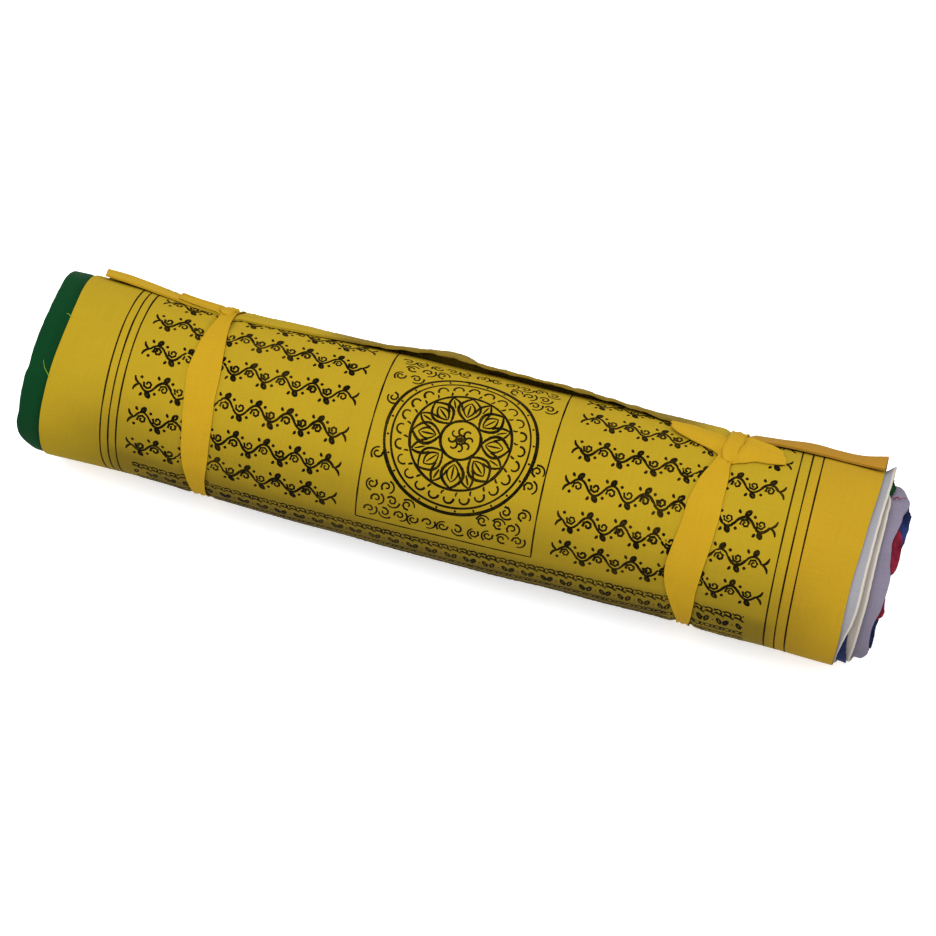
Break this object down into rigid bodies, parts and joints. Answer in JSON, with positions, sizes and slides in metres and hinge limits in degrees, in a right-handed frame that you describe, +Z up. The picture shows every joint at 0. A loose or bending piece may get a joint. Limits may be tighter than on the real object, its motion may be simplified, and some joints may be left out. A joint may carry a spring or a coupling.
{
  "type": "roll of prayer flags",
  "caption": "Printed cotton flags wound into a roll, the yellow one outside with its loose end over the top, held by cloth ties.",
  "frame": {"origin": "centre of the flat spot underneath, at the middle of the yellow flag's length", "axes": "+X along the roll towards the end where the white flags show, -Y towards the printed front, +Z up"},
  "size_m": [0.2693, 0.0638, 0.0561],
  "materials": {
    "yellow_cotton": "matt plain-weave cotton, dyed yellow",
    "green_cotton": "matt plain-weave cotton, dyed deep green",
    "white_cotton": "matt plain-weave cotton, white with a lilac cast",
    "red_cotton": "matt plain-weave cotton, dyed red",
    "blue_cotton": "matt plain-weave cotton, dyed blue",
    "tie_cotton": "matt cotton strip, dyed golden yellow",
    "black_ink": "matt block-printing ink soaked into the cloth"
  },
  "bodies": {
    "root": {"yellow_flag": "yellow_cotton", "green_flag": "green_cotton", "white_flag_outer": "white_cotton", "white_flag_folded": "white_cotton", "white_flag_inner": "white_cotton", "red_flag": "red_cotton", "blue_flag": "blue_cotton", "wound_flags": "white_cotton", "tie_left": "tie_cotton", "tie_right": "tie_cotton"}
  },
  "joints": []
}
